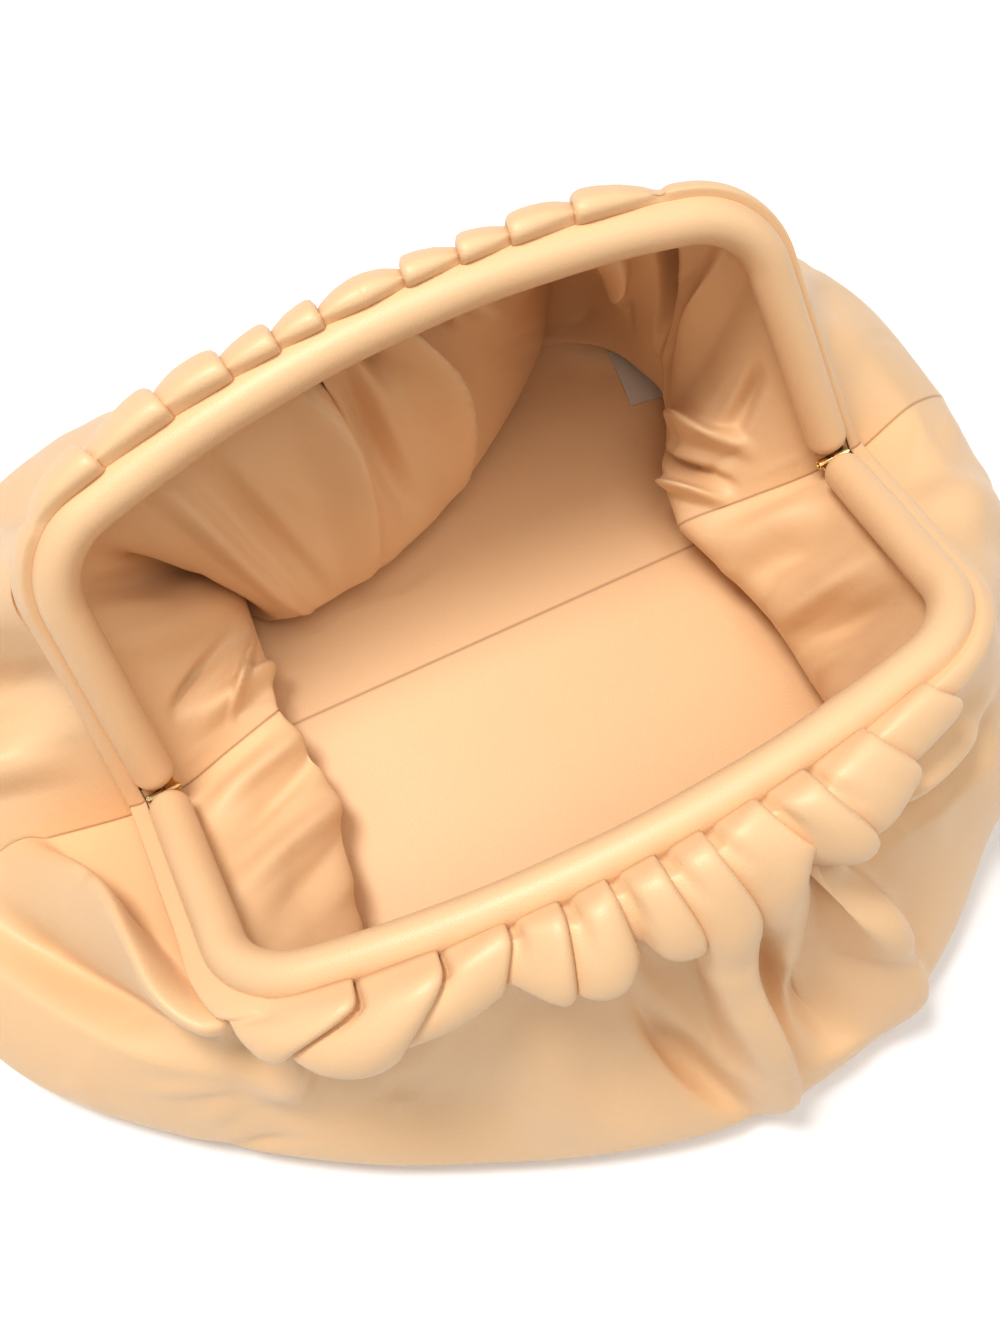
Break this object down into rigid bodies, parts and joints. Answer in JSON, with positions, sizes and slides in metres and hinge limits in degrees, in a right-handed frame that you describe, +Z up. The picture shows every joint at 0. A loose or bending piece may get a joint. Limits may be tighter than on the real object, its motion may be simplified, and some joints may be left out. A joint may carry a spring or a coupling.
{
  "type": "cloud pouch bag",
  "caption": "Soft gathered leather pouch bag with a hinged, padded frame, standing open on a surface so that its mouth and lining show.",
  "frame": {"origin": "on the surface the bag stands on, straight below the middle of the line through the two hinges", "axes": "+X from the left hinge towards the right one, +Y to the back, +Z up"},
  "size_m": [0.444, 0.3475, 0.1796],
  "materials": {
    "outer_leather": "smooth soft calf leather with a satin sheen",
    "bow_leather": "smooth calf leather, stretched over padding, satin",
    "lining_leather": "smooth lining leather, slightly duller than the outside",
    "hinge_brass": "polished",
    "label_cloth": "plain woven label, blank"
  },
  "bodies": {
    "root": {"frame_bow_front": "bow_leather", "frame_bow_back": "bow_leather", "hinge_left_leaf_front": "hinge_brass", "hinge_left_leaf_back": "hinge_brass", "hinge_left_pin": "hinge_brass", "hinge_right_leaf_front": "hinge_brass", "hinge_right_leaf_back": "hinge_brass", "hinge_right_pin": "hinge_brass", "outer_front_panel": "outer_leather", "outer_back_panel": "outer_leather", "lining_front_panel": "lining_leather", "lining_back_panel": "lining_leather", "label": "label_cloth"}
  },
  "joints": []
}
